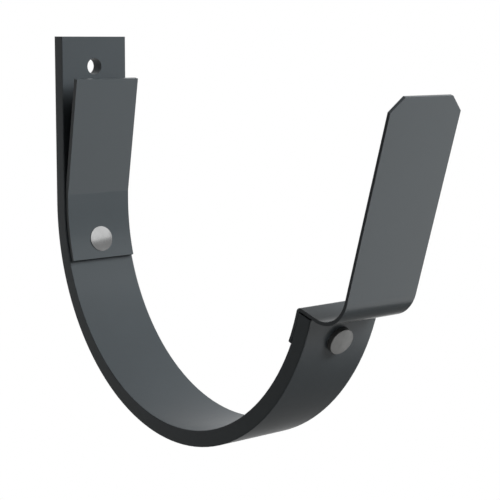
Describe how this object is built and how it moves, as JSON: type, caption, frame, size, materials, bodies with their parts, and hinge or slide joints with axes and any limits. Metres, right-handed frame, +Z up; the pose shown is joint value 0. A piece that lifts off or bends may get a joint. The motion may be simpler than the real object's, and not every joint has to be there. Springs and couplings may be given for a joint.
{
  "type": "gutter bracket",
  "caption": "Flat bar bracket for a half-round gutter, bent into a J, with a riveted sheet clip at the back and a longer folded clip with a raised flap at the front.",
  "frame": {"origin": "centre of the screw hole, on the back face of the plate that lies on the wall", "axes": "+X across the bar's width, +Y into the wall, +Z up; the bracket reaches out towards -Y"},
  "size_m": [0.025, 0.1625, 0.1235],
  "materials": {
    "coated_steel": "satin anthracite coating on steel bar",
    "coated_sheet": "satin anthracite coating on steel sheet",
    "rivet_metal": "zinc plated, dulled"
  },
  "bodies": {
    "root": {"strap": "coated_steel", "rear_clip": "coated_sheet", "front_clip": "coated_sheet", "rear_rivet": "rivet_metal", "front_rivet": "rivet_metal"}
  },
  "joints": []
}
